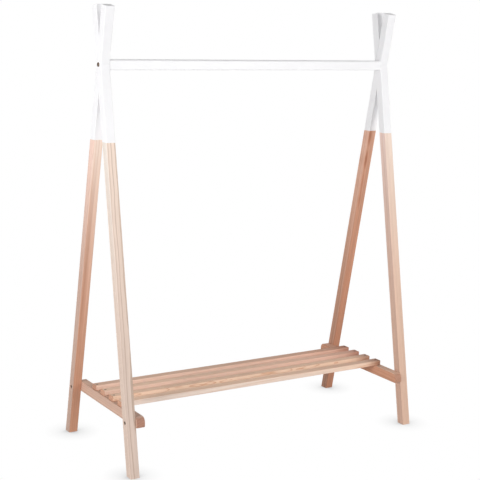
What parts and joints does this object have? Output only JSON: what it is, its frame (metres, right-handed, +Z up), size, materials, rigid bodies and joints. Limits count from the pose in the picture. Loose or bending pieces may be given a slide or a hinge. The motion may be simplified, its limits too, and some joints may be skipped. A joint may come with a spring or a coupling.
{
  "type": "clothes rack",
  "caption": "Free-standing pine clothes rack: crossed-leg end frames with white-painted tops, a white hanging rail between the crossings and a low slatted shelf.",
  "frame": {"origin": "on the floor, below the middle of the rail", "axes": "+X along the rail to the right, +Y from front to back, +Z up"},
  "size_m": [1.165, 0.5226, 1.4998],
  "materials": {
    "pine": "planed and sanded, bare",
    "pine_with_white_top": "planed and sanded, bare below 1066 mm and painted satin white above it",
    "white_paint": "painted satin white",
    "bronzed_bolt_steel": "bronzed, dark brown",
    "zinc_steel": "bright zinc",
    "screw_steel": "dark phosphate"
  },
  "bodies": {
    "root": {"back_left_bearer_bolt": "bronzed_bolt_steel", "back_left_insert_nut": "zinc_steel", "back_left_leg": "pine_with_white_top", "back_right_bearer_bolt": "bronzed_bolt_steel", "back_right_insert_nut": "zinc_steel", "back_right_leg": "pine_with_white_top", "front_left_bearer_bolt": "bronzed_bolt_steel", "front_left_insert_nut": "zinc_steel", "front_left_leg": "pine_with_white_top", "front_right_bearer_bolt": "bronzed_bolt_steel", "front_right_insert_nut": "zinc_steel", "front_right_leg": "pine_with_white_top", "hanging_rail": "white_paint", "left_rail_barrel_nut": "zinc_steel", "left_rail_bolt": "bronzed_bolt_steel", "left_shelf_bearer": "pine", "left_slat_screws": "screw_steel", "right_rail_barrel_nut": "zinc_steel", "right_rail_bolt": "bronzed_bolt_steel", "right_shelf_bearer": "pine", "right_slat_screws": "screw_steel", "shelf_slat_1": "pine", "shelf_slat_2": "pine", "shelf_slat_3": "pine", "shelf_slat_4": "pine"}
  },
  "joints": []
}
